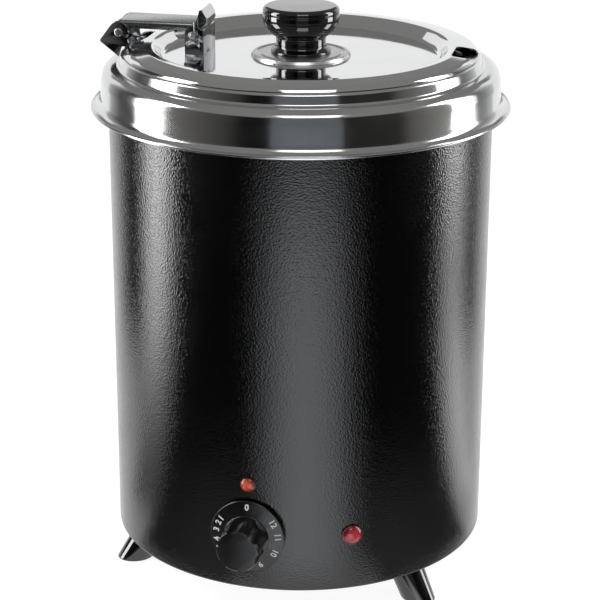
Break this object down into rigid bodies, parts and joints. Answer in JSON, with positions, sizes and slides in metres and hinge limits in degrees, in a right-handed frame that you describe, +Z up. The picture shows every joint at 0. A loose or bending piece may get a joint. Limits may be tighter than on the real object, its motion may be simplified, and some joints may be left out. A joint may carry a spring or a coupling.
{
  "type": "soup kettle",
  "caption": "Wet-heat soup kettle with a painted outer shell, a removable stainless pot, a hinged lid with a latch lever, a thermostat dial, pilot lamps and splayed feet.",
  "frame": {"origin": "On the floor, under the kettle's vertical axis.", "axes": "+Z up; -Y is the front, with the dial and lamps; +X is to the right seen from the front."},
  "size_m": [0.2622, 0.2762, 0.3656],
  "materials": {
    "shell_paint": "black wrinkle powder coat with a soft sheen",
    "foot_black": "glossy black moulded feet",
    "zinc_steel": "zinc plated steel",
    "well_steel": "satin stainless sheet",
    "spreader_aluminium": "cast aluminium, machined flat",
    "element_steel": "dull sheath of a tubular element",
    "moulded_black": "matt black moulding",
    "moulded_cream": "heat proof cream moulding",
    "dial_black": "satin black moulding with white numbers",
    "lens_red": "clear red lens",
    "copper_tube": "bare copper",
    "polished_steel": "mirror polished stainless sheet",
    "hinge_steel": "bright pressed steel",
    "spring_steel": "bright spring wire",
    "knob_black": "high gloss black phenolic"
  },
  "bodies": {
    "base": {"outer_shell": "shell_paint", "base_plate": "shell_paint", "base_screws": "zinc_steel", "foot_left": "foot_black", "foot_right": "foot_black", "foot_rear": "foot_black", "foot_screws": "zinc_steel", "water_well": "well_steel", "heat_spreader": "spreader_aluminium", "heating_element": "element_steel", "element_clamp": "zinc_steel", "clamp_nut": "zinc_steel", "overheat_cutout": "moulded_black", "thermostat_body": "moulded_black", "thermostat_screws": "zinc_steel", "feeler_bulb": "copper_tube", "bulb_clip": "zinc_steel", "small_lamp_lens": "lens_red", "small_lamp_body": "moulded_cream", "large_lamp_lens": "lens_red", "large_lamp_body": "moulded_cream", "lamp_clips": "zinc_steel", "cable_gland": "moulded_black", "gland_nut": "moulded_black", "terminal_bracket": "zinc_steel", "terminal_block": "moulded_cream"},
    "dial": {"thermostat_shaft": "zinc_steel", "thermostat_dial": "dial_black"},
    "pot": {"inner_pot": "polished_steel"},
    "collar": {"collar_ring": "polished_steel", "hinge_bracket": "hinge_steel", "bracket_rivets": "polished_steel", "hinge_pin": "polished_steel"},
    "lid": {"hinge_arm": "hinge_steel", "lid_plate": "polished_steel", "lid_bracket": "hinge_steel", "lid_bracket_rivets": "polished_steel", "lid_pin": "polished_steel", "knob_disc": "polished_steel", "lid_knob": "knob_black", "knob_cap": "knob_black", "knob_screw": "zinc_steel"},
    "latch": {"latch_lever": "hinge_steel", "latch_spring": "spring_steel"}
  },
  "joints": [
    {"name": "dial_turn", "type": "hinge", "parent": "base", "child": "dial", "pos_m": [-0.03132, -0.11688, 0.061], "axis": [0.2588, 0.9659, 0], "range_deg": [0, 305]},
    {"name": "pot_lift", "type": "slide", "parent": "base", "child": "pot", "axis": [0, 0, 1], "range_m": [0, 0.22]},
    {"name": "collar_lift", "type": "slide", "parent": "pot", "child": "collar", "axis": [0, 0, 1], "range_m": [0, 0.06]},
    {"name": "lid_hinge", "type": "hinge", "parent": "collar", "child": "lid", "pos_m": [-0.11102, 0.0236, 0.3458], "axis": [-0.2079, -0.9781, 0], "range_deg": [0, 105]},
    {"name": "latch_press", "type": "hinge", "parent": "lid", "child": "latch", "pos_m": [-0.06348, 0.01349, 0.3458], "axis": [-0.2079, -0.9781, 0], "range_deg": [0, 12], "stiffness_Nm_per_rad": 0.05, "springref_deg": -11.46}
  ]
}
